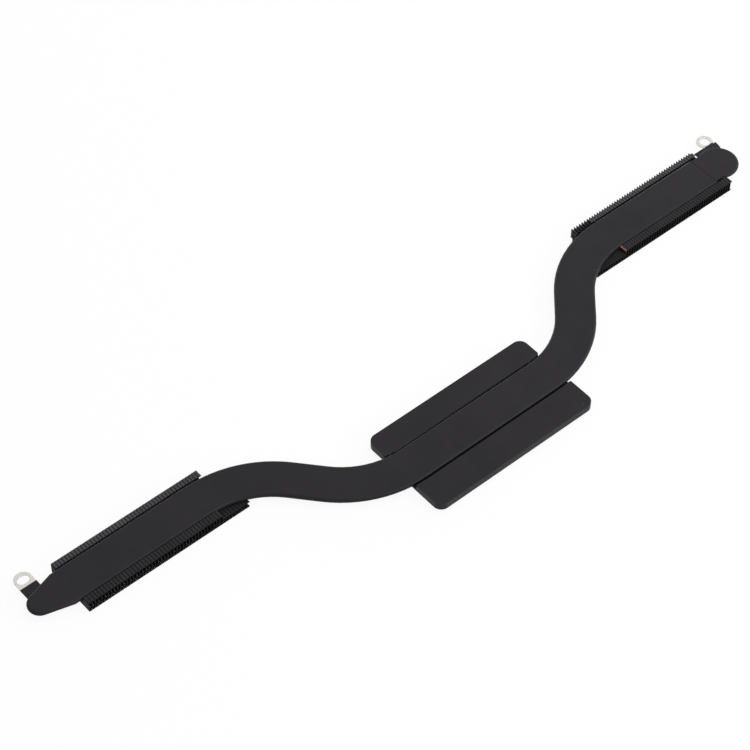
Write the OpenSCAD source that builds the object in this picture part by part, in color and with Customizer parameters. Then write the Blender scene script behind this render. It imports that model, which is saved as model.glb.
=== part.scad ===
// Flat heat pipe of a thin twin-fan cooler. One flattened copper pipe runs
// from a fan outlet on the left, through a grooved base plate that sits over
// the chip, to a fan outlet on the right. A stack of thin folded fins is
// soldered under each outer arm, and a small bracket under each end takes a
// screw. The part lies on its contact pad and its fins, +Z up, long side on X.
// Places are measured from the middle of the middle arm, and the whole is
// moved to the part's zero point at the end.

/* [Heat pipe] */
// Width of the flattened pipe
pipe_w = 11.5; // [9:0.1:12]
// Thickness of the flattened pipe, whose long edges are fully round
pipe_t = 1.5; // [1.2:0.05:1.8]
// Radius of each bend, measured to the middle of the pipe
bend_r = 29.4; // [26:0.1:30]
// How far the outer arms lie behind the middle arm
arm_offset = 27; // [26:0.02:28.5]
// Length of the straight middle arm
middle_len = 46.2; // [44:0.1:48]

/* [Ends of the pipe] */
// How far the pinched left tip stands out past the fins
left_reach = 12.5; // [11:0.1:18]
// Radius of the pinched left tip
left_tip_r = 3.6; // [3:0.05:4.5]
// How far the round right end stands out past the fins
right_reach = 8.8; // [8.4:0.1:14]
// Radius of the round right end
right_tip_r = 6; // [5.9:0.1:7]
// How far inside the end of the fins the right arm narrows to its neck
neck_inset = 3.2; // [2:0.1:5]
// Width of the neck before the round right end
neck_w = 10.2; // [8.5:0.1:10.5]

/* [Base plate] */
// Size of the base plate in X
plate_l = 55.5; // [50:0.1:58]
// How far the middle of the base plate lies to the right of the pipe's middle
plate_shift = 0.2; // [-0.5:0.1:0.5]
// Y of the front edge of the base plate
plate_front_y = -15.95; // [-20:0.1:-12]
// Y of the back edge of the base plate
plate_back_y = 13.8; // [11:0.05:15]
// Thickness of the base plate
plate_t = 2.3; // [1.9:0.05:2.6]
// Radius of the four corners of the base plate
plate_corner_r = 2.6; // [1:0.1:3.5]
// Gap between the pipe and each wall of its groove
groove_gap = 0.5; // [0.3:0.05:0.8]
// How far the groove lies in front of the middle line of the pipe
groove_shift = 0.3; // [0:0.05:0.3]
// Size of the contact pad in X
pad_l = 34; // [20:0.5:44]
// Size of the contact pad in Y
pad_w = 22; // [14:0.5:26]
// Radius of the corners of the contact pad
pad_corner_r = 1.5; // [0.5:0.1:4]

/* [Fins] */
// Distance from one fin to the next
fin_pitch = 1; // [0.9:0.05:1]
// Thickness of the fin sheet
fin_t = 0.15; // [0.1:0.01:0.2]
// Play between the folded edge of one fin and the next fin
fin_play = 0.04; // [0.03:0.01:0.1]
// Depth of a fin in Y, along the air flow
fin_depth = 16.36; // [15:0.02:18]
// How far the middle of a fin lies in front of the middle line of the arm
fin_shift = 0.21; // [0:0.01:0.4]
// Height of a fin beside the pipe
fin_h = 3.5; // [3.4:0.05:4]
// Gap between the pipe and the ear of a fin on each side of it
ear_gap = 0.25; // [0.15:0.05:0.6]
// X at which the left stack's tall fins give way to the low ones
left_low_x = -72.4; // [-74:0.1:-71]
// X of the inner face of the right stack's first tall fin
right_stack_x = 72.95; // [72.5:0.05:74]
// Number of tall fins in each stack
tall_fins = 43; // [30:1:55]
// Number of low fins that follow the left stack under the bend
left_low_fins = 9; // [2:1:10]
// How many of those keep an ear behind the pipe
left_low_ears = 4; // [0:1:6]
// Number of low fins that come before the right stack under the bend
right_low_fins = 11; // [8:1:12]
// How many of those keep a full ear behind the pipe
right_low_ears = 6; // [1:1:6]
// How far the bare tips of the right fins stand out past their folded edges
comb_tip = 0.55; // [0.2:0.05:1.5]
// Length of the folded edges on the last fin of the right stack
last_fold = 0.65; // [0.3:0.05:0.9]

/* [Brackets] */
// Thickness of the bracket sheet
bracket_t = 0.4; // [0.3:0.05:0.6]
// How far the left bracket reaches past the middle line of the arm
bracket_root = 2.5; // [1:0.1:4]
// Distance in X from the pinched tip to the slotted lug
left_lug_inset = 4.8; // [3:0.1:7]
// Y of the slotted lug on the left bracket
left_lug_y = 36.45; // [35:0.1:40]
// Width of the left bracket, rounded at its far end
left_bracket_w = 5.1; // [4.6:0.1:6]
// Length of the slot in X
slot_l = 3.4; // [2.6:0.1:3.8]
// Width of the slot in Y
slot_w = 2.5; // [1.6:0.1:2.5]
// Distance in X from the round end of the pipe to the ring lug
ring_inset = 2.05; // [1.5:0.05:3]
// Y of the ring lug on the right bracket
ring_y = 36.4; // [35.5:0.05:37]
// Outer radius of the ring lug
ring_r = 2.5; // [2.3:0.05:2.8]
// Radius of the screw hole in the ring lug
ring_hole_r = 1.5; // [1:0.05:1.7]
// How far the plate of the right bracket reaches to the left of the ring
ring_plate_reach = 5.95; // [5:0.05:6.5]
// How far the back edge of that plate lies in front of the middle of the ring
ring_plate_drop = 1.7; // [1.5:0.05:2.2]
// How far that back edge steps forward beside the ring
ring_plate_step = 0.4; // [0.2:0.05:0.8]
// Radius of the front right corner of that plate, under the round end
ring_plate_corner_r = 7.4; // [6.5:0.1:7.6]

/* [Hidden] */
$fn = 96;

// Heights, from the underside up. The pipe, plate and fins are level on top
pipe_z = fin_h - pipe_t;
plate_z = fin_h - plate_t;
bracket_z = pipe_z - bracket_t;

// Route of the pipe. The angles come from right-angled triangles with whole
// sides, so that the runs and bends meet exactly
half_w = pipe_w / 2;
edge_r = pipe_t / 2;
middle_x = middle_len / 2;
bend_angle = 270 - 6 * atan(3 / 4);
slant_len = (arm_offset - 2 * bend_r * (1 - cos(bend_angle))) / sin(bend_angle);
arm_x = middle_x + 2 * bend_r * sin(bend_angle) + slant_len * cos(bend_angle);
pinch_angle = atan(7 / 24);
bend_reach = bend_r + pipe_w;

// Base plate
plate_y = (plate_front_y + plate_back_y) / 2;
plate_w = plate_back_y - plate_front_y;
groove_w = pipe_w + 2 * groove_gap;

// Fins. The ears stand in front of and behind the pipe
fin_front_y = arm_offset - fin_shift - fin_depth / 2;
fin_back_y = fin_front_y + fin_depth;
notch_front_y = arm_offset - half_w - ear_gap;
notch_back_y = arm_offset + half_w + ear_gap;
fold_len = fin_pitch - fin_play;
left_stack_x = left_low_x - tall_fins * fin_pitch;
right_last_x = right_stack_x + (tall_fins - 1) * fin_pitch;
right_stack_end = right_last_x + last_fold;
low_ear_gap = 0.15;
low_back_inset = 0.5;
short_ear = 1.3;

// Ends of the pipe
left_tip_x = left_stack_x - left_reach;
right_tip_x = right_stack_end + right_reach;
neck_x = right_stack_end - neck_inset;

// Brackets, whose roots are soldered under the ends of the pipe
left_lug_x = left_tip_x + left_lug_inset;
ring_x = right_tip_x - ring_inset;
left_lug_r = left_bracket_w / 2;
bracket_root_y = arm_offset - bracket_root;
ring_plate_x = ring_x - ring_plate_reach;
ring_plate_back_y = ring_y - ring_plate_drop;
ring_plate_step_y = ring_plate_back_y - ring_plate_step;
ring_plate_edge_inset = 0.15;
ring_plate_slant = 0.6;

// The zero point lies under the middle of the whole outline
back_y = left_lug_y + left_lug_r;
zero = [(left_tip_x + max(right_tip_x, ring_x + ring_r)) / 2, (plate_front_y + back_y) / 2, 0];

module in_place() {
    translate(-zero)
        children();
}

// ---- Pipe ----

// Section of the pipe, or of the groove that is cut for it
module run_section(groove, width = pipe_w) {
    if (groove)
        translate([-groove_w / 2, -edge_r])
            square([groove_w, 2 * pipe_t]);
    else {
        square([width - pipe_t, pipe_t], center = true);
        for (side = [-1, 1])
            translate([side * (width - pipe_t) / 2, 0])
                circle(r = edge_r);
    }
}

// A straight run along X. What follows it starts at its far end
module straight_run(length, groove = false, width = pipe_w) {
    rotate([90, 0, 90])
        linear_extrude(length)
            run_section(groove, width);
    translate([length, 0, 0])
        children();
}

// The half of space on the +X side of the Z axis, turned by an angle
module ahead_of(angle) {
    rotate([0, 0, angle])
        translate([0, -2 * bend_reach, -bend_reach])
            cube([2 * bend_reach, 4 * bend_reach, 2 * bend_reach]);
}

// A bend to the left. What follows it starts at its far end
module left_bend(groove = false) {
    translate([0, bend_r, 0]) {
        difference() {
            intersection() {
                rotate_extrude()
                    translate([bend_r, 0])
                        run_section(groove);
                translate([0, -2 * bend_reach, -bend_reach])
                    cube([2 * bend_reach, 2 * bend_reach, 2 * bend_reach]);
            }
            ahead_of(bend_angle);
        }
        rotate([0, 0, bend_angle])
            translate([0, -bend_r, 0])
                children();
    }
}

module right_bend() {
    mirror([0, 1, 0])
        left_bend()
            children();
}

// From the middle of the middle arm to the start of the right outer arm
module pipe_half() {
    straight_run(middle_x)
        left_bend()
            straight_run(slant_len)
                right_bend()
                    children();
}

// The disc that a round end is cut from, with a fully round rim
module end_disc(radius) {
    rotate_extrude() {
        translate([0, -edge_r])
            square([radius - edge_r, pipe_t]);
        translate([radius - edge_r, 0])
            circle(r = edge_r);
    }
}

// Arm that narrows evenly to a small round tip, both edges round
module pinched_arm(length) {
    translate([length, 0, 0]) {
        difference() {
            intersection() {
                translate([-length, 0, 0])
                    straight_run(2 * length);
                intersection_for (side = [0, 1])
                    mirror([0, side, 0])
                        rotate([0, 0, -pinch_angle])
                            translate([-2 * length, left_tip_r - 2 * pipe_w, 0])
                                straight_run(4 * length, width = 4 * pipe_w);
            }
            intersection() {
                ahead_of(pinch_angle);
                ahead_of(-pinch_angle);
            }
        }
        intersection() {
            end_disc(left_tip_r);
            ahead_of(pinch_angle);
            ahead_of(-pinch_angle);
        }
    }
}

// Arm with a stepped neck and a round head
module headed_arm(length, neck_from) {
    difference() {
        straight_run(length);
        for (side = [0, 1])
            mirror([0, side, 0])
                translate([neck_from, neck_w / 2, -pipe_t])
                    cube([length, pipe_w, 2 * pipe_t]);
    }
    translate([length, 0, 0])
        end_disc(right_tip_r);
}

module heat_pipe() {
    color("#333335")
        in_place()
            translate([0, 0, pipe_z + edge_r]) {
                pipe_half()
                    headed_arm(right_tip_x - right_tip_r - arm_x, neck_x - arm_x);
                mirror([1, 0, 0])
                    pipe_half()
                        pinched_arm(-left_tip_x - left_tip_r - arm_x);
            }
}

// ---- Base plate and pad ----

// Rectangle about the zero point with four rounded corners
module rounded_rect(length, width, corner_r) {
    square([length - 2 * corner_r, width], center = true);
    square([length, width - 2 * corner_r], center = true);
    for (x = [-1, 1])
        for (y = [-1, 1])
            translate([x * (length / 2 - corner_r), y * (width / 2 - corner_r)])
                circle(r = corner_r);
}

// The groove follows the pipe and is open on top
module pipe_groove() {
    translate([-middle_x, 0, 0])
        straight_run(middle_len, groove = true);
    for (side = [0, 1])
        mirror([side, 0, 0])
            translate([middle_x, 0, 0])
                left_bend(groove = true);
}

module base_plate() {
    color("#363639")
        in_place()
            difference() {
                translate([plate_shift, plate_y, plate_z])
                    linear_extrude(plate_t)
                        rounded_rect(plate_l, plate_w, plate_corner_r);
                translate([0, -groove_shift, pipe_z + edge_r])
                    pipe_groove();
            }
}

module contact_pad() {
    color("#b87346")
        in_place()
            translate([plate_shift, plate_y, 0])
                linear_extrude(plate_z)
                    rounded_rect(pad_l, pad_w, pad_corner_r);
}

// ---- Fins ----

// Y of the back edge of the pipe in an outer bend, at a distance in X from
// the end of the outer arm
function bend_back_y(dx) = arm_offset - bend_r + sqrt(pow(bend_r + half_w, 2) - pow(dx, 2));

// A sheet that stands across X, drawn in Y and Z
module web(x) {
    translate([x, 0, 0])
        rotate([90, 0, 90])
            linear_extrude(fin_t)
                children();
}

// An edge folded towards +X
module fold(x, from_y, to_y, z, length = fold_len) {
    translate([x, from_y, z])
        cube([length, to_y - from_y, fin_t]);
}

// A fin with an ear on each side of the pipe
module tall_fin(x, tip = 0) {
    web(x)
        difference() {
            translate([fin_front_y, 0])
                square([fin_depth, fin_h]);
            translate([notch_front_y, pipe_z])
                square([notch_back_y - notch_front_y, fin_h]);
        }
    fold(x, fin_front_y, fin_back_y - tip, 0);
    fold(x, notch_front_y, notch_back_y, pipe_z - fin_t);
    fold(x, fin_front_y, notch_front_y, fin_h - fin_t);
    fold(x, notch_back_y, fin_back_y - tip, fin_h - fin_t);
}

// A fin that lies wholly under the pipe
module low_fin(x, back_y) {
    web(x)
        translate([fin_front_y, 0])
            square([back_y - fin_front_y, pipe_z]);
    fold(x, fin_front_y, back_y, 0);
    fold(x, fin_front_y, back_y, pipe_z - fin_t);
}

// A low fin with an ear behind the pipe, from ear_y to back_y. A capped ear
// is folded over on top, and the others are bare edges
module eared_fin(x, ear_y, back_y, fold_back_y, capped = false) {
    low_fin(x, fold_back_y);
    if (capped)
        fold(x, ear_y, back_y, fin_h - fin_t);
    web(x) {
        translate([fin_front_y, 0])
            square([back_y - fin_front_y, pipe_z]);
        translate([ear_y, 0])
            square([back_y - ear_y, fin_h]);
    }
}

module left_fins() {
    color("#39383b")
        in_place()
            for (i = [0:tall_fins - 1])
                tall_fin(left_stack_x + i * fin_pitch);
}

module right_fins() {
    color("#39383b")
        in_place()
            for (i = [1:tall_fins - 2])
                tall_fin(right_stack_x + i * fin_pitch, comb_tip);
}

// The first tall fin, whose inner face is bare copper
module right_first_fin() {
    color("#a8603c")
        in_place()
            tall_fin(right_stack_x, comb_tip);
}

// The last fin of the right stack, with trimmed folds and its back ear cut
// away beside the bracket
module right_last_fin() {
    back_y = fin_back_y - comb_tip;
    color("#39383b")
        in_place() {
            web(right_last_x) {
                translate([fin_front_y, 0])
                    square([back_y - fin_front_y, pipe_z]);
                translate([fin_front_y, 0])
                    square([notch_front_y - fin_front_y, fin_h]);
            }
            fold(right_last_x, fin_front_y, back_y, 0, last_fold);
            fold(right_last_x, notch_front_y, back_y, pipe_z - fin_t, last_fold);
            fold(right_last_x, fin_front_y, notch_front_y, fin_h - fin_t, last_fold);
        }
}

module left_low_fin(i) {
    x = left_low_x + (i - 1) * fin_pitch;
    pipe_back_y = bend_back_y(max(arm_x + x, 0));
    color("#2c2c2e")
        in_place()
            if (i <= left_low_ears)
                eared_fin(x, pipe_back_y + low_ear_gap, fin_back_y, fin_back_y, capped = true);
            else
                low_fin(x, pipe_back_y - low_back_inset);
}

// Counted from the tall fins towards the middle of the part
module right_low_fin(i) {
    x = right_stack_x - i * fin_pitch;
    pipe_back_y = bend_back_y(max(arm_x - x - fin_t, 0));
    ear_y = pipe_back_y + low_ear_gap;
    color("#2c2c2e")
        in_place()
            if (i <= right_low_ears)
                eared_fin(x, ear_y, fin_back_y, fin_back_y - comb_tip);
            else if (i == right_low_ears + 1)
                eared_fin(x, ear_y, pipe_back_y + short_ear, pipe_back_y + short_ear);
            else
                low_fin(x, pipe_back_y - low_back_inset);
}

// ---- Brackets ----

module left_bracket() {
    color("#8f8c86")
        in_place()
            translate([left_lug_x, left_lug_y, bracket_z])
                linear_extrude(bracket_t)
                    difference() {
                        union() {
                            circle(r = left_lug_r);
                            translate([-left_lug_r, bracket_root_y - left_lug_y])
                                square([left_bracket_w, left_lug_y - bracket_root_y]);
                        }
                        square([slot_l - slot_w, slot_w], center = true);
                        for (side = [-1, 1])
                            translate([side * (slot_l - slot_w) / 2, 0])
                                circle(d = slot_w);
                    }
}

module right_bracket() {
    color("#8f8c86")
        in_place()
            translate([0, 0, bracket_z])
                difference() {
                    union() {
                        translate([ring_x, ring_y, 0])
                            cylinder(h = bracket_t, r = ring_r);
                        ring_plate();
                    }
                    translate([ring_x, ring_y, -bracket_t])
                        cylinder(h = 3 * bracket_t, r = ring_hole_r);
                }
}

// The plate of the right bracket, with one large round corner under the end
// of the pipe and a step in its back edge beside the ring
module ring_plate() {
    corner_x = ring_x + ring_r - ring_plate_edge_inset - ring_plate_corner_r;
    front_y = ring_plate_step_y - ring_plate_corner_r;
    slant_x = ring_x - ring_r + ring_plate_slant;
    linear_extrude(bracket_t)
        polygon([
            [ring_plate_x, front_y],
            [ring_plate_x, ring_plate_back_y],
            [slant_x - ring_plate_step, ring_plate_back_y],
            [slant_x, ring_plate_step_y],
            [corner_x + ring_plate_corner_r / 2, ring_plate_step_y],
            [corner_x, front_y]
        ]);
    intersection() {
        translate([corner_x, ring_plate_step_y, 0])
            cylinder(h = bracket_t, r = ring_plate_corner_r);
        translate([corner_x, front_y, 0])
            cube([ring_plate_corner_r, ring_plate_corner_r, bracket_t]);
    }
}

heat_pipe();
base_plate();
contact_pad();
left_bracket();
right_bracket();
left_fins();
right_fins();
right_first_fin();
right_last_fin();
for (i = [1:left_low_fins])
    left_low_fin(i);
for (i = [1:right_low_fins])
    right_low_fin(i);
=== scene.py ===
# %% [markdown]
# # Dressing a flat heat pipe
# The part is the cooler of a thin laptop. One flattened pipe carries the heat
# of the chip from a grooved plate to two stacks of thin fins, where two fans
# blow it out. The solids come ready made as a fixed frame, and each lies where
# it belongs. So this lesson sets no main size of its own. It gives the solids
# their finish, their folded and rounded edges, the light and the camera.
# Blender works in metres, and so does the frame.

import math

import bmesh
import bpy
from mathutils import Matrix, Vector


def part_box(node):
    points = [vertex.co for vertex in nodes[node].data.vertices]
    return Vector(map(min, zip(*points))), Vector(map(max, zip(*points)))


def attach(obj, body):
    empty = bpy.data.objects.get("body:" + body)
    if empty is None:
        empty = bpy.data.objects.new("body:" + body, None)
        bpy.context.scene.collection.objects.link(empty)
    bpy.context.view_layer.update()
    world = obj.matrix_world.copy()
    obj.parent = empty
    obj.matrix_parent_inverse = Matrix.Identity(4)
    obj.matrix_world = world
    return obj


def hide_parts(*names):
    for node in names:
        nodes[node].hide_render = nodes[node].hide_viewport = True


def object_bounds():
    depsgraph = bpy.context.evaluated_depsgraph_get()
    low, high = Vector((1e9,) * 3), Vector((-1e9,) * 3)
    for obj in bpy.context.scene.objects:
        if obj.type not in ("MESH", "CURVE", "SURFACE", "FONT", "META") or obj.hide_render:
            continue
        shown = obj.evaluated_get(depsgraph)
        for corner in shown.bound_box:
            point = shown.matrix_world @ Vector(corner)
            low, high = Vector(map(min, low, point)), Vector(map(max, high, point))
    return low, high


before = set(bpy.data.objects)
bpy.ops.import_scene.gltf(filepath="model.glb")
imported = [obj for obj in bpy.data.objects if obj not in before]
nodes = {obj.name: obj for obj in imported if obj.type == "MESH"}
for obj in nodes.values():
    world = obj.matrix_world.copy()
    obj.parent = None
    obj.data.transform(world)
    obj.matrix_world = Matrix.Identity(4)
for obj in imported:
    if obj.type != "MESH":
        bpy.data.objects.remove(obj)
cad_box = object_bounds()
mm = 0.001
print("solids in the frame:", len(nodes))
print("box of the part:", [list(corner) for corner in cad_box])

# %% [markdown]
# The camera stands to the left and in front, and looks down steeply at the
# part. A long lens keeps the far arm nearly as large as the near one. A
# constraint could keep a camera on its target. Here nothing moves, so a
# tracking quaternion turns it once: its -Z axis looks at the target and its Y
# axis points up. The lamps are aimed with the same helper later.

# %% Camera
camera_place = (-0.299515, -0.323145, 0.530940)
camera_target = (-0.009685, 0.018015, 0.0035)
lens_mm = 122.24
sensor_mm = 36
nearest_seen = 10 * mm


def aim(thing, place, target):
    """Sets a camera or a lamp at a place and turns it to a target."""
    thing.location = place
    sight = Vector(target) - Vector(place)
    thing.rotation_euler = sight.to_track_quat("-Z", "Y").to_euler()


def make_camera():
    data = bpy.data.cameras.new("camera")
    data.lens = lens_mm
    data.sensor_width = sensor_mm
    data.clip_start = nearest_seen
    camera = bpy.data.objects.new("camera", data)
    aim(camera, camera_place, camera_target)
    bpy.context.scene.collection.objects.link(camera)
    return camera


bpy.context.scene.camera = make_camera()
distance = (Vector(camera_target) - Vector(camera_place)).length
print("camera to target:", round(distance, 3), "m, lens", lens_mm, "mm")

# %% [markdown]
# Each material is a small network of nodes. They could be drawn by hand in the
# shader editor, but then nobody could rerun them. In code, each node is added,
# its values are filled in, and its sockets are joined. That repeats a lot, so
# these short helpers do it: one for a node, one for a link, and three for the
# steps that come back in each texture: a blend, a step of arithmetic, and a
# change of range.

# %% Node helpers
def add(tree, kind, **values):
    """Adds a node and fills in its settings and the values of its sockets."""
    node = tree.nodes.new(kind)
    for name, value in values.items():
        if hasattr(node, name):
            setattr(node, name, value)
        else:
            node.inputs[name.replace("_", " ")].default_value = value
    return node


def join(tree, from_socket, to_socket):
    tree.links.new(from_socket, to_socket)


def blend(tree, kind, share, first, second):
    """Blends two colours or numbers by a share from 0 to 1."""
    node = add(tree, "ShaderNodeMix", data_type=kind)
    for source, name in ((share, "Factor"), (first, "A"), (second, "B")):
        join(tree, source, node.inputs[name])
    return node.outputs["Result"]


def work_out(tree, operation, *terms):
    """Puts sockets or plain numbers through one step of arithmetic."""
    node = add(tree, "ShaderNodeMath", operation=operation)
    for term, place in zip(terms, node.inputs):
        if isinstance(term, float):
            place.default_value = term
        else:
            join(tree, term, place)
    return node.outputs["Value"]


def spread(tree, value, start, stop):
    """Turns the values from start to stop into 0 to 1, and cuts off the rest."""
    node = add(tree, "ShaderNodeMapRange", From_Min=start, From_Max=stop)
    join(tree, value, node.inputs["Value"])
    return node


print("node helpers:", [helper.__name__ for helper in (add, join, blend, work_out, spread)])

# %% [markdown]
# A finish that several materials share is a node group: it is built once, and
# each material places it with its own values. The group has named sockets on
# both sides, and inside it reads the part's own coordinates, so a pattern
# stays on the part and has no seams. The groups here put out only colours,
# masks, roughness and heights. The shader itself stays in the material, because
# the export can't read it inside a group.

# %% Group helpers
finish_outputs = {"Color": "NodeSocketColor", "Roughness": "NodeSocketFloat", "Height": "NodeSocketFloat"}


def socket_kind(value):
    """A plain number, a vector of 3 or a colour of 4."""
    if isinstance(value, float):
        return "NodeSocketFloat"
    return "NodeSocketColor" if len(value) == 4 else "NodeSocketVector"


def start_group(name, inputs, outputs):
    """Makes a group with its sockets: its given values, its results and the place of a point."""
    group = bpy.data.node_groups.new(name, "ShaderNodeTree")
    for label, value in inputs.items():
        made = group.interface.new_socket(name=label, socket_type=socket_kind(value), in_out="INPUT")
        made.default_value = value
    for label, kind in outputs.items():
        group.interface.new_socket(name=label, socket_type=kind, in_out="OUTPUT")
    given = add(group, "NodeGroupInput").outputs
    result = add(group, "NodeGroupOutput").inputs
    point = add(group, "ShaderNodeTexCoord").outputs["Object"]
    return group, given, result, point


print("sockets of a finish:", list(finish_outputs))

# %% [markdown]
# A new material comes with a shader that nobody asked for, so its tree is
# cleared first. Nearly all the finishes of this part then need the same wiring:
# a colour, a roughness, and a height that a Bump node turns into slopes.
# Displacement could move the surface for real, but the grain of a coat is a
# fiftieth of a millimetre deep, and no mesh here is that fine.

# %% Material helpers
def new_material(name):
    material = bpy.data.materials.new(name)
    material.use_nodes = True
    tree = material.node_tree
    tree.nodes.clear()
    return material, tree, add(tree, "ShaderNodeOutputMaterial")


def new_shader(name):
    material, tree, output = new_material(name)
    shader = add(tree, "ShaderNodeBsdfPrincipled")
    join(tree, shader.outputs["BSDF"], output.inputs["Surface"])
    return material, tree, shader


def place_group(tree, group, **values):
    node = tree.nodes.new("ShaderNodeGroup")
    node.node_tree = group
    for name, value in values.items():
        node.inputs[name.replace("_", " ")].default_value = value
    return node


def wire_finish(tree, shader, finish, strength, depth):
    """Joins a colour, a roughness and a height to the shader, the height as a bump."""
    bump = add(tree, "ShaderNodeBump", Strength=strength, Distance=depth)
    join(tree, finish["Color"], shader.inputs["Base Color"])
    join(tree, finish["Roughness"], shader.inputs["Roughness"])
    join(tree, finish["Height"], bump.inputs["Height"])
    join(tree, bump.outputs["Normal"], shader.inputs["Normal"])
    return bump


helpers = (new_material, new_shader, place_group, wire_finish)
print("material helpers:", [helper.__name__ for helper in helpers])

# %% [markdown]
# The black coating on the pipe, the plate and the fins is one sprayed and
# baked layer. It isn't one flat black: it has a cloudy tone, a very fine grain
# and a few specks of dust. A picture of a coating could be laid on the part,
# but it would need unwrapping, and it would blur close up. Noise in the part's
# own coordinates does neither. Two sizes of noise make the clouds and the
# grain, and cells with a random colour choose where a speck may lie.

# %% Group: sprayed coating
clouds_per_metre = 90.0
grains_per_metre = 4200.0
speck_cells_per_metre = 380.0
cloud_share_of_height = 0.25
cloud_range = (0.35, 0.68)
grain_range = (0.3, 0.7)
speck_middle = (0.10, 0.04)
drawn_colour = (0.84, 0.96)


def make_coating_group():
    inputs = {
        "Dark": (0.0105, 0.0092, 0.0111, 1),
        "Light": (0.0146, 0.0129, 0.0154, 1),
        "Dust": (0.09, 0.088, 0.085, 1),
        "Dust amount": 0.5,
        "Roughness low": 0.40,
        "Roughness high": 0.52,
    }
    group, given, result, point = start_group("sprayed_coating", inputs, finish_outputs)
    cloud = add(group, "ShaderNodeTexNoise", Scale=clouds_per_metre, Detail=5.0, Roughness=0.6)
    grain = add(group, "ShaderNodeTexNoise", Scale=grains_per_metre, Detail=3.0, Roughness=0.55)
    cells = add(group, "ShaderNodeTexVoronoi", Scale=speck_cells_per_metre, Randomness=1.0)
    for texture in (cloud, grain, cells):
        join(group, point, texture.inputs["Vector"])

    tone = spread(group, cloud.outputs["Fac"], *cloud_range).outputs["Result"]
    coat = blend(group, "RGBA", tone, given["Dark"], given["Light"])

    # A speck lies near the middle of a few of the cells, chosen by their colour
    draw = add(group, "ShaderNodeSeparateColor")
    join(group, cells.outputs["Color"], draw.inputs["Color"])
    in_middle = spread(group, cells.outputs["Distance"], *speck_middle).outputs["Result"]
    is_drawn = spread(group, draw.outputs["Red"], *drawn_colour).outputs["Result"]
    speck = work_out(group, "MULTIPLY", in_middle, is_drawn)
    dust_share = work_out(group, "MULTIPLY", speck, given["Dust amount"])
    join(group, blend(group, "RGBA", dust_share, coat, given["Dust"]), result["Color"])

    rough = spread(group, grain.outputs["Fac"], *grain_range)
    join(group, given["Roughness low"], rough.inputs["To Min"])
    join(group, given["Roughness high"], rough.inputs["To Max"])
    join(group, rough.outputs["Result"], result["Roughness"])

    height = work_out(group, "MULTIPLY_ADD", cloud.outputs["Fac"], cloud_share_of_height,
                      grain.outputs["Fac"])
    join(group, height, result["Height"])
    return group


coating = make_coating_group()
print("group made:", coating.name, "with", len(coating.nodes), "nodes")

# %% [markdown]
# The pipe, the plate and the painted part of the brackets share one satin
# black. Its shine is low and broad, with a very small bump that breaks up the
# highlights. The fins were coated as thin sheet and came out duller. The flat tops of the ears get lighter
# copies of that black, which are painted light: lighter where light falls on the tops, and lightest behind
# the pipe.
# These could be four separate networks. Since only the values differ, one
# function makes each of them from the same group.

# %% Coated materials
satin_shine = 0.15
satin_bump = 0.22
fin_bump = 0.3
coat_depth = 0.02 * mm


def make_coated(name, shine, bump_strength, **values):
    material, tree, shader = new_shader(name)
    coat = place_group(tree, coating, **values)
    wire_finish(tree, shader, coat.outputs, bump_strength, coat_depth)
    shader.inputs["Specular IOR Level"].default_value = shine
    return material


satin_black = make_coated("satin_black", shine=satin_shine, bump_strength=satin_bump)
fin_black = make_coated(
    "fin_black", shine=0.05, bump_strength=fin_bump,
    Dark=(0.012, 0.012, 0.013, 1), Light=(0.021, 0.020, 0.022, 1),
    Dust_amount=0.25, Roughness_low=0.5, Roughness_high=0.64)
# Lighter copies of fin_black for the tops of the ears: painted light, lightest behind the pipe.
front_ear_painted_light = make_coated(
    "front_ear_painted_light", shine=0.08, bump_strength=fin_bump,
    Dark=(0.0180, 0.0170, 0.0187, 1), Light=(0.0270, 0.0258, 0.0280, 1),
    Dust_amount=0.3, Roughness_low=0.46, Roughness_high=0.6)
back_ear_painted_light = make_coated(
    "back_ear_painted_light", shine=0.1, bump_strength=fin_bump,
    Dark=(0.047, 0.045, 0.048, 1), Light=(0.070, 0.068, 0.072, 1),
    Dust_amount=0.4, Roughness_low=0.42, Roughness_high=0.56)
for coat in (satin_black, fin_black, front_ear_painted_light, back_ear_painted_light):
    print("coat:", coat.name)

# %% [markdown]
# A few places of the cooler are bare metal: the screw lugs, the pad under the
# plate, and one fin that lost its coat. Rolling and milling leave fine lines in
# metal. An anisotropic shader could stand for them, but here they are wide
# enough to be seen. So they are noise that is pressed together along one axis,
# and they change the tone, the roughness and the height together.

# %% Group: fine lines
line_detail = 4.0
line_range = (0.3, 0.7)


def make_lines_group():
    inputs = {
        "Stretch": (1.0, 12.0, 1.0),
        "Scale": 900.0,
        "Dark": (0.5, 0.5, 0.5, 1),
        "Light": (0.7, 0.7, 0.7, 1),
        "Roughness low": 0.25,
        "Roughness high": 0.42,
    }
    group, given, result, point = start_group("fine_lines", inputs, finish_outputs)
    pressed = add(group, "ShaderNodeVectorMath", operation="MULTIPLY")
    join(group, point, pressed.inputs[0])
    join(group, given["Stretch"], pressed.inputs[1])
    lines = add(group, "ShaderNodeTexNoise", Detail=line_detail, Roughness=0.6)
    join(group, pressed.outputs["Vector"], lines.inputs["Vector"])
    join(group, given["Scale"], lines.inputs["Scale"])

    tone = spread(group, lines.outputs["Fac"], *line_range).outputs["Result"]
    join(group, blend(group, "RGBA", tone, given["Dark"], given["Light"]), result["Color"])
    rough = spread(group, lines.outputs["Fac"], *line_range)
    join(group, given["Roughness low"], rough.inputs["To Min"])
    join(group, given["Roughness high"], rough.inputs["To Max"])
    join(group, rough.outputs["Result"], result["Roughness"])
    join(group, lines.outputs["Fac"], result["Height"])
    return group


fine_lines = make_lines_group()
print("group made:", fine_lines.name, "with", len(fine_lines.nodes), "nodes")

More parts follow.
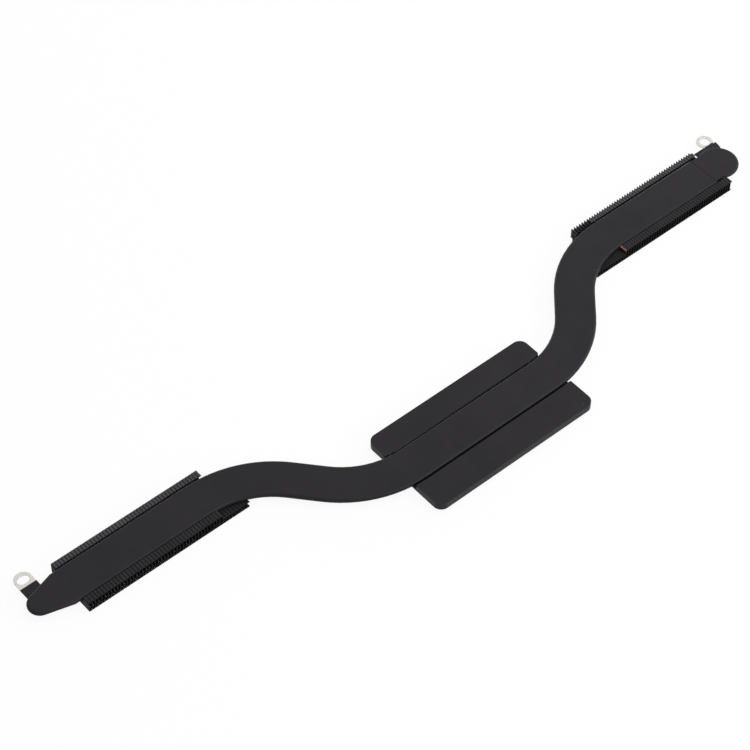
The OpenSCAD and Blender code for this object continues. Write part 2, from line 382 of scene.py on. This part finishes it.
# %% [markdown]
# The contact pad is milled copper, and its face is clean metal, so its Metallic
# is 1. The bare strip on the fin is copper too, but the coat came off it
# unevenly and the metal went dull. Two layers with a mask could show that. The
# strip is half a millimetre high, so one darker copper with a Metallic under a
# half gives the same look with less.

# %% Copper
copper_bump = 0.15
copper_depth = 0.01 * mm


def make_copper(name, metallic, dark, light, **values):
    material, tree, shader = new_shader(name)
    lines = place_group(tree, fine_lines, Dark=dark, Light=light, **values)
    wire_finish(tree, shader, lines.outputs, copper_bump, copper_depth)
    shader.inputs["Metallic"].default_value = metallic
    return material


pad_copper = make_copper(
    "pad_copper", metallic=1.0, dark=(0.52, 0.24, 0.14, 1), light=(0.72, 0.36, 0.22, 1),
    Stretch=(1.0, 26.0, 1.0), Scale=500.0)
fin_copper = make_copper(
    "fin_copper", metallic=0.45, dark=(0.30, 0.105, 0.055, 1), light=(0.58, 0.22, 0.12, 1),
    Stretch=(1.0, 1.0, 14.0), Scale=700.0, Roughness_low=0.35, Roughness_high=0.5)
print("bare copper:", pad_copper.name, fin_copper.name)

# %% [markdown]
# Each bracket is a pressed steel tab whose lug was masked when the cooler was
# sprayed, so its paint ends at a nearly straight line. The line could be a cut
# between two pieces, but the tab is one sheet. A mask does it instead: it is 0
# on the paint and 1 on the bare metal, by the place of a point in Y, and a
# little noise makes the line waver as real paint does.

# %% Group: paint mask
waver_scale = 1500.0
waver_reach = 0.22 * mm
mask_edge = (0.09 * mm, 0.15 * mm)


def make_paint_mask_group():
    group, given, result, point = start_group("paint_mask", {"Line": 0.0}, {"Bare": "NodeSocketFloat"})
    place = add(group, "ShaderNodeSeparateXYZ")
    waver = add(group, "ShaderNodeTexNoise", Scale=waver_scale, Detail=2.0)
    join(group, point, place.inputs["Vector"])
    join(group, point, waver.inputs["Vector"])
    past_line = work_out(group, "SUBTRACT", place.outputs["Y"], given["Line"])
    wavering = work_out(group, "MULTIPLY_ADD", waver.outputs["Fac"], waver_reach, past_line)
    edge = spread(group, wavering, *mask_edge)
    join(group, edge.outputs["Result"], result["Bare"])
    return group


paint_mask = make_paint_mask_group()
print("group made:", paint_mask.name, "with", len(paint_mask.nodes), "nodes")

# %% [markdown]
# The lugs are nickel plated steel. The bracket's material holds both finishes
# and blends them by the mask before they reach the shader: the colours, the
# roughness, the height, and Metallic. Two shaders in a Mix Shader would also
# work, but one shader is simpler to export. Each paint line is measured from
# the far edge of its own bracket, so it moves with the part.

# %% Brackets: half paint, half nickel
bracket_bump = 0.2
left_lug_bare = 4.8 * mm
right_lug_bare = 4.25 * mm


def make_bracket_material(name, paint_line_y, dark, light):
    material, tree, shader = new_shader(name)
    paint = place_group(tree, coating, Dust_amount=0.6)
    metal = place_group(tree, fine_lines, Dark=dark, Light=light,
                        Stretch=(1.0, 5.0, 1.0), Scale=1400.0,
                        Roughness_low=0.3, Roughness_high=0.5)
    bare = place_group(tree, paint_mask, Line=paint_line_y).outputs["Bare"]
    kinds = {"Color": "RGBA", "Roughness": "FLOAT", "Height": "FLOAT"}
    finish = {name_out: blend(tree, kind, bare, paint.outputs[name_out], metal.outputs[name_out])
              for name_out, kind in kinds.items()}
    wire_finish(tree, shader, finish, bracket_bump, coat_depth)
    join(tree, bare, shader.inputs["Metallic"])
    shader.inputs["Specular IOR Level"].default_value = satin_shine
    return material


left_nickel = make_bracket_material(
    "left_nickel_and_paint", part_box("left_bracket")[1].y - left_lug_bare,
    dark=(0.50, 0.48, 0.45, 1), light=(0.66, 0.64, 0.60, 1))
right_nickel = make_bracket_material(
    "right_nickel_and_paint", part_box("right_bracket")[1].y - right_lug_bare,
    dark=(0.52, 0.51, 0.48, 1), light=(0.68, 0.67, 0.63, 1))
print("bracket materials:", left_nickel.name, right_nickel.name)

# %% [markdown]
# A sheared or machined edge is never sharp. Its round is far smaller than the
# sheet is thick, but it catches the light, so it draws the outline of a black
# part. The Bevel node fakes that in the shading alone. The rounds here are real
# faces instead, so that they show in any program. A solid arrives as triangles,
# so its copy is first turned back into flat faces, and then only the edges that
# a test picks are rounded.

# %% Copy a solid and round its edges
hair = 0.001 * mm
same_point = 0.0005 * mm
same_plane = math.radians(0.5)


def flat_copy(node_name):
    """The solid of a node as a mesh of flat faces that can be edited."""
    mesh = bmesh.new()
    mesh.from_mesh(nodes[node_name].data)
    bmesh.ops.remove_doubles(mesh, verts=mesh.verts, dist=same_point)
    bmesh.ops.dissolve_limit(mesh, angle_limit=same_plane, verts=mesh.verts, edges=mesh.edges)
    return mesh


def is_level(edge):
    """Both ends of the edge are equally high."""
    return abs(edge.verts[0].co.z - edge.verts[1].co.z) < hair


def round_edges(mesh, width, steps, wanted, sharper_than=30):
    """Rounds the edges that turn by more than an angle in degrees and that wanted() picks."""
    picked = [
        edge for edge in mesh.edges
        if len(edge.link_faces) == 2
        and edge.calc_face_angle(0) > math.radians(sharper_than)
        and wanted(edge)
    ]
    bmesh.ops.bevel(mesh, geom=picked, offset=width, segments=steps, affect="EDGES",
                    profile=0.5, clamp_overlap=True, loop_slide=True)
    return len(picked)


trial = flat_copy("base_plate")
print("base plate:", len(nodes["base_plate"].data.polygons), "triangles,", len(trial.faces), "flat faces")
trial.free()

# %% [markdown]
# Each edited mesh becomes a piece of its own. It rides on the body of the frame, and the solid that it was
# copied from is hidden. Smooth shading alone would make flat faces look swollen next to a small round. So
# the edges that turn by more than an angle stay sharp, and weighted normals let the large flat faces win
# over the rounds.

# %% Make a piece from a mesh
def finished_piece(mesh, name, node_name, slot_name, materials, smooth_below=35):
    """Makes the piece in the place of its solid and shades it."""
    data = bpy.data.meshes.new(name)
    mesh.to_mesh(data)
    mesh.free()
    piece = bpy.data.objects.new(name, data)
    bpy.context.scene.collection.objects.link(piece)
    for material in materials:
        data.materials.append(material)
    data.shade_smooth()
    data.set_sharp_from_angle(angle=math.radians(smooth_below))
    weighted = piece.modifiers.new("flat_faces_stay_flat", "WEIGHTED_NORMAL")
    weighted.keep_sharp = True
    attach(piece, "root")
    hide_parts(node_name)
    return piece


def report(piece):
    print("piece:", piece.name, "with", len(piece.data.polygons), "faces")


print("each piece is made by:", finished_piece.__name__)

# %% [markdown]
# A bracket is one flat tab, cut by a punch. Punching leaves a small round on
# the rims of the outline and of the hole, on both faces, and its upright edges
# stay as they are. So only the level edges are rounded.

# %% Brackets
bracket_round = 0.05 * mm


def make_bracket(name, node_name, material):
    mesh = flat_copy(node_name)
    print(name, "edges rounded:", round_edges(mesh, bracket_round, steps=2, wanted=is_level))
    return finished_piece(mesh, name, node_name, "bare_nickel", [material])


report(make_bracket("slotted_bracket", "left_bracket", left_nickel))
report(make_bracket("ring_bracket", "right_bracket", right_nickel))

# %% [markdown]
# The base plate is a block of metal with a groove for the pipe. The mouths of
# the groove are broken by hand to a round of half a millimetre. The outline has
# a fine round all along, and the lips of the groove have a finer one, because
# the pipe lies against them. One bevel for all the edges would be quicker, but
# it would swallow the narrow walls of the groove. The mouths come first,
# because the later rounds have to run along them.

# %% Base plate
mouth_round = 0.5 * mm
outline_round = 0.14 * mm
lip_round = 0.04 * mm
end_reach = 0.05 * mm
floor_clearance = 0.1 * mm


def make_base_plate():
    mesh = flat_copy("base_plate")
    low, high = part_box("base_plate")
    groove_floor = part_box("heat_pipe")[0].z

    def at_groove_mouth(edge):
        upright = abs(edge.verts[0].co.z - edge.verts[1].co.z) > mm
        at_end = any(abs(edge.verts[0].co.x - end) < end_reach for end in (low.x, high.x))
        return upright and at_end and min(vert.co.z for vert in edge.verts) > groove_floor - hair

    def beside_groove(vert):
        clear_of_bottom = min(face.calc_center_median().z for face in vert.link_faces) > low.z + hair
        neighbours = [end for edge in vert.link_edges for end in edge.verts]
        return clear_of_bottom and any(abs(end.co.z - groove_floor) < hair for end in neighbours)

    def on_rim(edge):
        return is_level(edge) and abs(edge.verts[0].co.z - groove_floor) > floor_clearance

    def on_lip(edge):
        return on_rim(edge) and all(beside_groove(vert) for vert in edge.verts)

    def on_outline(edge):
        return on_rim(edge) and not all(beside_groove(vert) for vert in edge.verts)

    mouths = round_edges(mesh, mouth_round, steps=5, wanted=at_groove_mouth, sharper_than=40)
    outline = round_edges(mesh, outline_round, steps=3, wanted=on_outline, sharper_than=60)
    lips = round_edges(mesh, lip_round, steps=2, wanted=on_lip, sharper_than=60)
    print("groove mouths:", mouths, "outline edges:", outline, "groove lips:", lips)
    return finished_piece(mesh, "grooved_plate", "base_plate", "black_coating", [satin_black])


report(make_base_plate())

# %% [markdown]
# The contact pad is the raised face under the plate that presses on the chip.
# It is milled flat, and the cutter leaves its rim with a small broken edge. It
# could be part of the plate's mesh, but it is copper and the plate is black, so
# it stays a piece with a metal of its own.

# %% Contact pad
pad_round = 0.12 * mm


def make_contact_pad():
    mesh = flat_copy("contact_pad")
    rims = round_edges(mesh, pad_round, steps=2, wanted=is_level, sharper_than=60)
    print("pad edges:", rims)
    return finished_piece(mesh, "copper_pad", "contact_pad", "bare_copper", [pad_copper])


report(make_contact_pad())

# %% [markdown]
# A fin is one strip of thin sheet with its long edges folded over, so that the
# folded edge of each fin meets the back of the next. The solids have sharp
# folds, so each fin is made anew with rounded ones. Its sizes could be typed in
# again, but then they could differ from the solid. Here they are read from the
# points of the solid. A node may hold a whole stack, so its points are first
# sorted into fins by the pitch.

# %% Fins in a node
fin_pitch = 1.0 * mm
touching = 0.02 * mm


def fins_in(node_name):
    """The points of each fin of a node, split by the fin pitch."""
    low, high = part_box(node_name)
    count = max(1, round((high.x - low.x) / fin_pitch))
    fins = [[] for _ in range(count)]
    for vertex in nodes[node_name].data.vertices:
        index = int((vertex.co.x - low.x + touching) / fin_pitch)
        fins[min(index, count - 1)].append(vertex.co)
    return fins


left_stack = fins_in("left_fins")
print("left stack:", len(left_stack), "tall fins of", len(left_stack[0]), "points")

# %% [markdown]
# Along the air flow a fin is tall beside the pipe, low under it, and plain
# sheet without folds at the tips of the comb. A fin under a bend is cut where
# the pipe runs, so no two of those are equal. One mesh with holes would be hard
# to fold. So a fin is split into stretches that each have one height, and each
# stretch gets a section of its own.

# %% Stretches of a fin
fin_sheet = 0.15 * mm
above_pipe_low = 0.2 * mm
ear_margin = 1.0 * mm
pipe_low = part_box("heat_pipe")[0].z
fin_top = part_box("left_fins")[1].z


def fin_stretches(points):
    """The fin's left side in X, and its stretches along Y. Each has its two
    ends, its height, and the lengths of its bottom and its top fold."""
    left_x = min(p.x for p in points)
    low_y = min(p.y for p in points)
    high_y = max(p.y for p in points)
    middle_y = (low_y + high_y) / 2
    fold_length = max(p.x for p in points) - left_x
    folded = [p for p in points if p.x > left_x + fin_sheet + touching]
    fold_end = max(p.y for p in folded)
    upper = [p for p in points if p.z > pipe_low + above_pipe_low]
    front = [p for p in upper if p.y < middle_y - ear_margin]
    back = [p for p in upper if p.y > middle_y]
    stretches = []
    low_from = low_y
    if front:
        low_from = max(p.y for p in front)
        stretches.append((low_y, low_from, fin_top, fold_length, fold_length))
    low_to = min((p.y for p in back), default=high_y)
    stretches.append((low_from, low_to, pipe_low, fold_length, fold_length))
    if back:
        has_back_ear = any(p.y > middle_y for p in upper if p.x > left_x + fin_sheet + touching)
        ear_length = fold_length if has_back_ear else 0
        stretches.append((low_to, min(fold_end, high_y), fin_top, fold_length, ear_length))
        if high_y - fold_end > touching:
            stretches.append((fold_end, high_y, fin_top, 0, 0))
    return left_x, stretches


first_stretches = fin_stretches(left_stack[0])[1]
print("heights of the first fin in mm:", [round(height / mm, 2) for _, _, height, _, _ in first_stretches])

# %% [markdown]
# Across the air flow a fin is a tall letter C with rounded corners. The press
# bends the upper corner wide and the lower one tight. An extrusion with a bevel
# would round both alike, so the section is drawn point by point: along the
# outside from the lower fold to the upper, and back along the inside.

# %% Section of a fin
top_bend = 0.32 * mm
bottom_bend = 0.06 * mm
bottom_inner_bend = 0.05 * mm
worn_strip = 0.5 * mm


def arc(centre_x, centre_z, radius, start, stop, steps):
    """Points on an arc between two angles in degrees, counted from X towards Z."""
    turns = [math.radians(start + (stop - start) * step / steps) for step in range(steps + 1)]
    return [(centre_x + radius * math.cos(turn), centre_z + radius * math.sin(turn)) for turn in turns]


def fin_section(height, bottom, top):
    """Points of the section in X and Z. A fold of length 0 leaves the sheet straight."""
    section = []
    if bottom:
        section += [(bottom, fin_sheet), (bottom, 0)]
        section += arc(bottom_bend, bottom_bend, bottom_bend, 270, 180, steps=2)
    else:
        section += [(fin_sheet, 0), (0, 0)]
    if top:
        # This point sets the lower edge of the strip that can be bare
        section.append((0, height - worn_strip))
        section += arc(top_bend, height - top_bend, top_bend, 180, 90, steps=4)
        section += [(top, height), (top, height - fin_sheet)]
        section += arc(top_bend, height - top_bend, top_bend - fin_sheet, 90, 180, steps=3)
    else:
        section += [(0, height), (fin_sheet, height)]
    if bottom:
        inner = fin_sheet + bottom_inner_bend
        section += arc(inner, inner, bottom_inner_bend, 180, 270, steps=1)
    return section


print("section points:", len(fin_section(fin_top, fin_pitch, fin_pitch)), "folded,",
      len(fin_section(fin_top, 0, 0)), "straight")

# %% [markdown]
# The flat tops of the ears get lighter coats than the bends between them, as painted light on the tops and
# painted shade in the bends, so each fin shows as one light and one dark stripe. The ears behind the pipe
# and the tips of the comb are painted lightest, for the light that falls on them.
# The first fin of the right stack lost its coat on the inner side of its front
# ear. A painted mask could hold all this. Each fin is smaller than a brush
# stroke would be, so whole faces get a coat instead, by their place and slope.

# %% Coats of a fin
# The second and third coats are painted light for the tops of the ears and the comb tips.
fin_coats = [fin_black, front_ear_painted_light, back_ear_painted_light, fin_copper]
front_ear_light_coat = fin_coats.index(front_ear_painted_light)
back_ear_light_coat = fin_coats.index(back_ear_painted_light)
bare_coat = fin_coats.index(fin_copper)
facing_up = 0.95
facing_left = -0.35
front_ear_reach = 2 * mm
wall_reach = 0.2 * mm
stack_low, stack_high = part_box("right_fins")
stack_middle_y = (stack_low.y + stack_high.y) / 2


def paint_light_on_ear_tops(mesh):
    """Gives the lighter coats, painted light, to the flat tops of the ears."""
    mesh.normal_update()
    for face in mesh.faces:
        middle = face.calc_center_median()
        if face.normal.z > facing_up and middle.z > fin_top - fin_sheet / 2:
            face.material_index = back_ear_light_coat if middle.y > stack_middle_y else front_ear_light_coat


def bare_inner_face(mesh):
    """Gives bare copper to the upper strip of the front ear's inner side."""
    left_x = min(vert.co.x for vert in mesh.verts)
    front_y = min(vert.co.y for vert in mesh.verts)
    mesh.normal_update()
    for face in mesh.faces:
        middle = face.calc_center_median()
        in_strip = middle.z > fin_top - worn_strip and middle.y < front_y + front_ear_reach
        on_wall = face.normal.x < facing_left and middle.x < left_x + wall_reach
        if in_strip and on_wall:
            face.material_index = bare_coat


print("coats of a fin:", [coat.name for coat in fin_coats])

# %% [markdown]
# Now the section is swept along each stretch, as two rings of points with
# faces between them and a cap at each end. A curve with a bevel profile could
# sweep it too, but it would need a curve for each stretch and a conversion to
# a mesh. Each node of the frame becomes one piece: a whole stack of equal fins,
# or one low fin with an outline of its own.

# %% Fins
def sweep_stretch(mesh, left_x, start, stop, section):
    rings = [[mesh.verts.new((left_x + x, y, z)) for x, z in section] for y in (start, stop)]
    faces = [mesh.faces.new(rings[0]), mesh.faces.new(rings[1][::-1])]
    for i, (near_point, far_point) in enumerate(zip(*rings)):
        faces.append(mesh.faces.new((near_point, far_point, rings[1][i - 1], rings[0][i - 1])))
    return faces


def make_fins(name, node_name, slot_name, is_worn):
    mesh = bmesh.new()
    for points in fins_in(node_name):
        left_x, stretches = fin_stretches(points)
        for start, stop, height, bottom, top in stretches:
            faces = sweep_stretch(mesh, left_x, start, stop, fin_section(height, bottom, top))
            # The straight comb tips get the lightest coat: painted light.
            if not bottom:
                for face in faces:
                    face.material_index = back_ear_light_coat
    bmesh.ops.recalc_face_normals(mesh, faces=mesh.faces)
    paint_light_on_ear_tops(mesh)
    if is_worn:
        bare_inner_face(mesh)
    return finished_piece(mesh, name, node_name, slot_name, fin_coats, smooth_below=50)


for node_name in sorted(nodes):
    if "fin" in node_name:
        is_worn = node_name == "right_first_fin"
        slot_name = "bare_copper" if is_worn else "fin_coating"
        report(make_fins(node_name + "_folded", node_name, slot_name, is_worn))

# %% [markdown]
# When the press closed, it left a faint crease across the top of the pipe, at
# the neck. It could be cut into the mesh, but a step that shallow is no more
# than a change of slope. So it is a bump in the pipe's material: one narrow
# ramp along X, from 0 before the crease to 1 after it.

# %% Group: press line
def make_press_line_group():
    inputs = {"From X": 0.0, "To X": 0.001}
    group, given, result, point = start_group("press_line", inputs, {"Height": "NodeSocketFloat"})
    place = add(group, "ShaderNodeSeparateXYZ")
    ramp = add(group, "ShaderNodeMapRange", interpolation_type="SMOOTHSTEP")
    join(group, point, place.inputs["Vector"])
    join(group, place.outputs["X"], ramp.inputs["Value"])
    join(group, given["From X"], ramp.inputs["From Min"])
    join(group, given["To X"], ramp.inputs["From Max"])
    join(group, ramp.outputs["Result"], result["Height"])
    return group


press_line = make_press_line_group()
print("group made:", press_line.name, "with", len(press_line.nodes), "nodes")

# %% [markdown]
# The pipe has the same satin black as the plate, with the crease under it. Two
# bumps can be joined in a row: the crease bends the normal first, and the fine
# bump of the coat bends that one again. Adding the two heights would also do,
# but then one depth would have to serve both. The neck begins a fixed length
# before the pipe's end, and the crease is placed from there.

# %% Pipe material
neck_reach = 12.0 * mm
crease_before_neck = 0.5 * mm
crease_after_neck = 0.3 * mm
crease_depth = 0.12 * mm
neck_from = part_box("heat_pipe")[1].x - neck_reach


def make_pipe_material(name):
    material, tree, shader = new_shader(name)
    coat = place_group(tree, coating)
    line = place_group(tree, press_line, From_X=neck_from - crease_before_neck,
                       To_X=neck_from + crease_after_neck)
    crease = add(tree, "ShaderNodeBump", Strength=1.0, Distance=crease_depth)
    bump = wire_finish(tree, shader, coat.outputs, satin_bump, coat_depth)
    join(tree, line.outputs["Height"], crease.inputs["Height"])
    join(tree, crease.outputs["Normal"], bump.inputs["Normal"])
    shader.inputs["Specular IOR Level"].default_value = satin_shine
    return material


pipe_black = make_pipe_material("pipe_black")
print("pipe material:", pipe_black.name, "with a crease at x =", round(neck_from / mm, 1), "mm")

# %% [markdown]
# A pipe that was pressed flat between two plates has edges that are a little
# fuller than half circles. The solid has half circles. A new sweep of the pipe
# would lose its neck and its round head, so the solid's own points are pushed
# out, most where the curve leaves the flat. The tip of the edge stays where it
# is, so the pipe grows no wider. The straight sides of the neck stay as they
# are, and the points where the neck begins move straight across the pipe.

# %% Pipe
press_squareness = 0.8
head_radius = 6.0 * mm
neck_width = 10.2 * mm
seam_reach = 0.03 * mm
same_pipe_point = 0.0002 * mm
flat_from = 0.999
least_slope = 0.01


def make_pipe():
    mesh = bmesh.new()
    mesh.from_mesh(nodes["heat_pipe"].data)
    bmesh.ops.remove_doubles(mesh, verts=mesh.verts, dist=same_pipe_point)
    mesh.normal_update()
    low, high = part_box("heat_pipe")
    middle_z = (low.z + high.z) / 2
    half_thickness = (high.z - low.z) / 2
    arm_y = high.y - head_radius
    pushed = 0
    for vert in mesh.verts:
        height = (vert.co.z - middle_z) / half_thickness
        outward = Vector((vert.normal.x, vert.normal.y, 0))
        beside = vert.co.y - arm_y
        on_neck = vert.co.x > neck_from - seam_reach and abs(abs(beside) - neck_width / 2) < seam_reach
        if abs(height) > flat_from or outward.length < least_slope or on_neck:
            continue
        if abs(vert.co.x - neck_from) < seam_reach:
            outward = Vector((0, math.copysign(1, beside), 0))
        reach = math.sqrt(1 - height * height)
        vert.co += outward.normalized() * half_thickness * (reach ** press_squareness - reach)
        pushed += 1
    print("edge points pushed:", pushed)
    return finished_piece(mesh, "pressed_pipe", "heat_pipe", "black_coating", [pipe_black],
                          smooth_below=50)


report(make_pipe())

# %% [markdown]
# The page around the part is white. Lamps strong enough to keep a floor white
# to its far corners would wash out a black part. So the floor and the world
# show a plain white of strength 1 to the rays that look at them, straight from
# the camera or by way of a shiny or clear surface. The light that falls on the
# part comes from other rays and stays as it was. This mask is a few nodes in
# each tree and no group, because Light Path has to stay in the material.

# %% Rays that see the page
seeing_rays = ("Is Camera Ray", "Is Glossy Ray", "Is Transmission Ray")


def page_rays(tree):
    """A mask that is 1 for the rays that see the page, and 0 for the rest."""
    path = add(tree, "ShaderNodeLightPath")
    seen = path.outputs[seeing_rays[0]]
    for name in seeing_rays[1:]:
        seen = work_out(tree, "MAXIMUM", seen, path.outputs[name])
    return seen


print("rays that see the page:", seeing_rays)

# %% [markdown]
# The floor is a plain pale sheet, far larger than the part, just under its
# lowest face. If it were all page, the part would seem to float. So it shows a
# share of its own paint too, and keeps a faint shadow of the part.

# %% Floor
floor_half = 3.0
floor_drop = 0.02 * mm
floor_paint = (0.94, 0.94, 0.94, 1)
white = (1, 1, 1, 1)
page_share = 0.92


def make_floor_material():
    material, tree, output = new_material("floor_white")
    paint = add(tree, "ShaderNodeBsdfDiffuse", Color=floor_paint)
    page = add(tree, "ShaderNodeEmission", Color=white, Strength=1.0)
    seen = add(tree, "ShaderNodeMixShader")
    join(tree, work_out(tree, "MULTIPLY", page_rays(tree), page_share), seen.inputs["Fac"])
    join(tree, paint.outputs["BSDF"], seen.inputs[1])
    join(tree, page.outputs["Emission"], seen.inputs[2])
    join(tree, seen.outputs["Shader"], output.inputs["Surface"])
    return material


def make_floor():
    data = bpy.data.meshes.new("floor")
    corners = [(x * floor_half, y * floor_half, 0) for x, y in ((-1, -1), (1, -1), (1, 1), (-1, 1))]
    data.from_pydata(corners, [], [(0, 1, 2, 3)])
    data.materials.append(make_floor_material())
    floor = bpy.data.objects.new("floor", data)
    floor.location.z = cad_box[0][2] - floor_drop
    bpy.context.scene.collection.objects.link(floor)
    return floor


floor = make_floor()
print("floor at", round(floor.location.z / mm, 3), "mm, page share", page_share)

# %% [markdown]
# The light is that of a product table. A pale surround lights the part from all
# sides. It is one level of white, so it can't tint the black. Four wide
# softboxes add shape to it: one above in front, one low at the right that draws
# the edge of each bend, one in front for the near side faces, and one low
# behind for the ears beyond the pipe. Sun lamps would give sharp shadows, and
# an area lamp gives soft ones. Their sum is kept plain, at a level where a
# colour shows about as it is written.

# %% World and lamps
surround_level = 0.45
softboxes = [
    # name, place, width and height, watts
    ("top_softbox", (0.25, -0.3, 1.0), (0.9, 0.6), 4.2),
    ("side_softbox", (0.9, -0.05, 0.42), (0.6, 0.4), 2.4),
    ("front_softbox", (0.5, -0.95, 0.5), (0.8, 0.4), 6),
    ("back_softbox", (0.35, 0.85, 0.16), (0.9, 0.2), 2.6),
]


def make_world(level):
    world = bpy.data.worlds.new("studio")
    bpy.context.scene.world = world
    world.use_nodes = True
    tree = world.node_tree
    tree.nodes.clear()
    output = add(tree, "ShaderNodeOutputWorld")
    light = add(tree, "ShaderNodeBackground", Color=white, Strength=level)
    page = add(tree, "ShaderNodeBackground", Color=white, Strength=1.0)
    seen = add(tree, "ShaderNodeMixShader")
    join(tree, page_rays(tree), seen.inputs["Fac"])
    join(tree, light.outputs["Background"], seen.inputs[1])
    join(tree, page.outputs["Background"], seen.inputs[2])
    join(tree, seen.outputs["Shader"], output.inputs["Surface"])


def make_softbox(name, place, size, watts):
    data = bpy.data.lights.new(name, "AREA")
    data.shape = "RECTANGLE"
    data.size, data.size_y = size
    data.energy = watts
    lamp = bpy.data.objects.new(name, data)
    aim(lamp, place, (0, 0, 0))
    bpy.context.scene.collection.objects.link(lamp)


make_world(surround_level)
print("surround:", surround_level)
for name, place, size, watts in softboxes:
    make_softbox(name, place, size, watts)
    print("lamp:", name, watts, "W")

# %% [markdown]
# The Standard view shows each colour as it was made, where the film-like views would soften the black.

# %% Colour view
bpy.context.scene.view_settings.view_transform = "Standard"
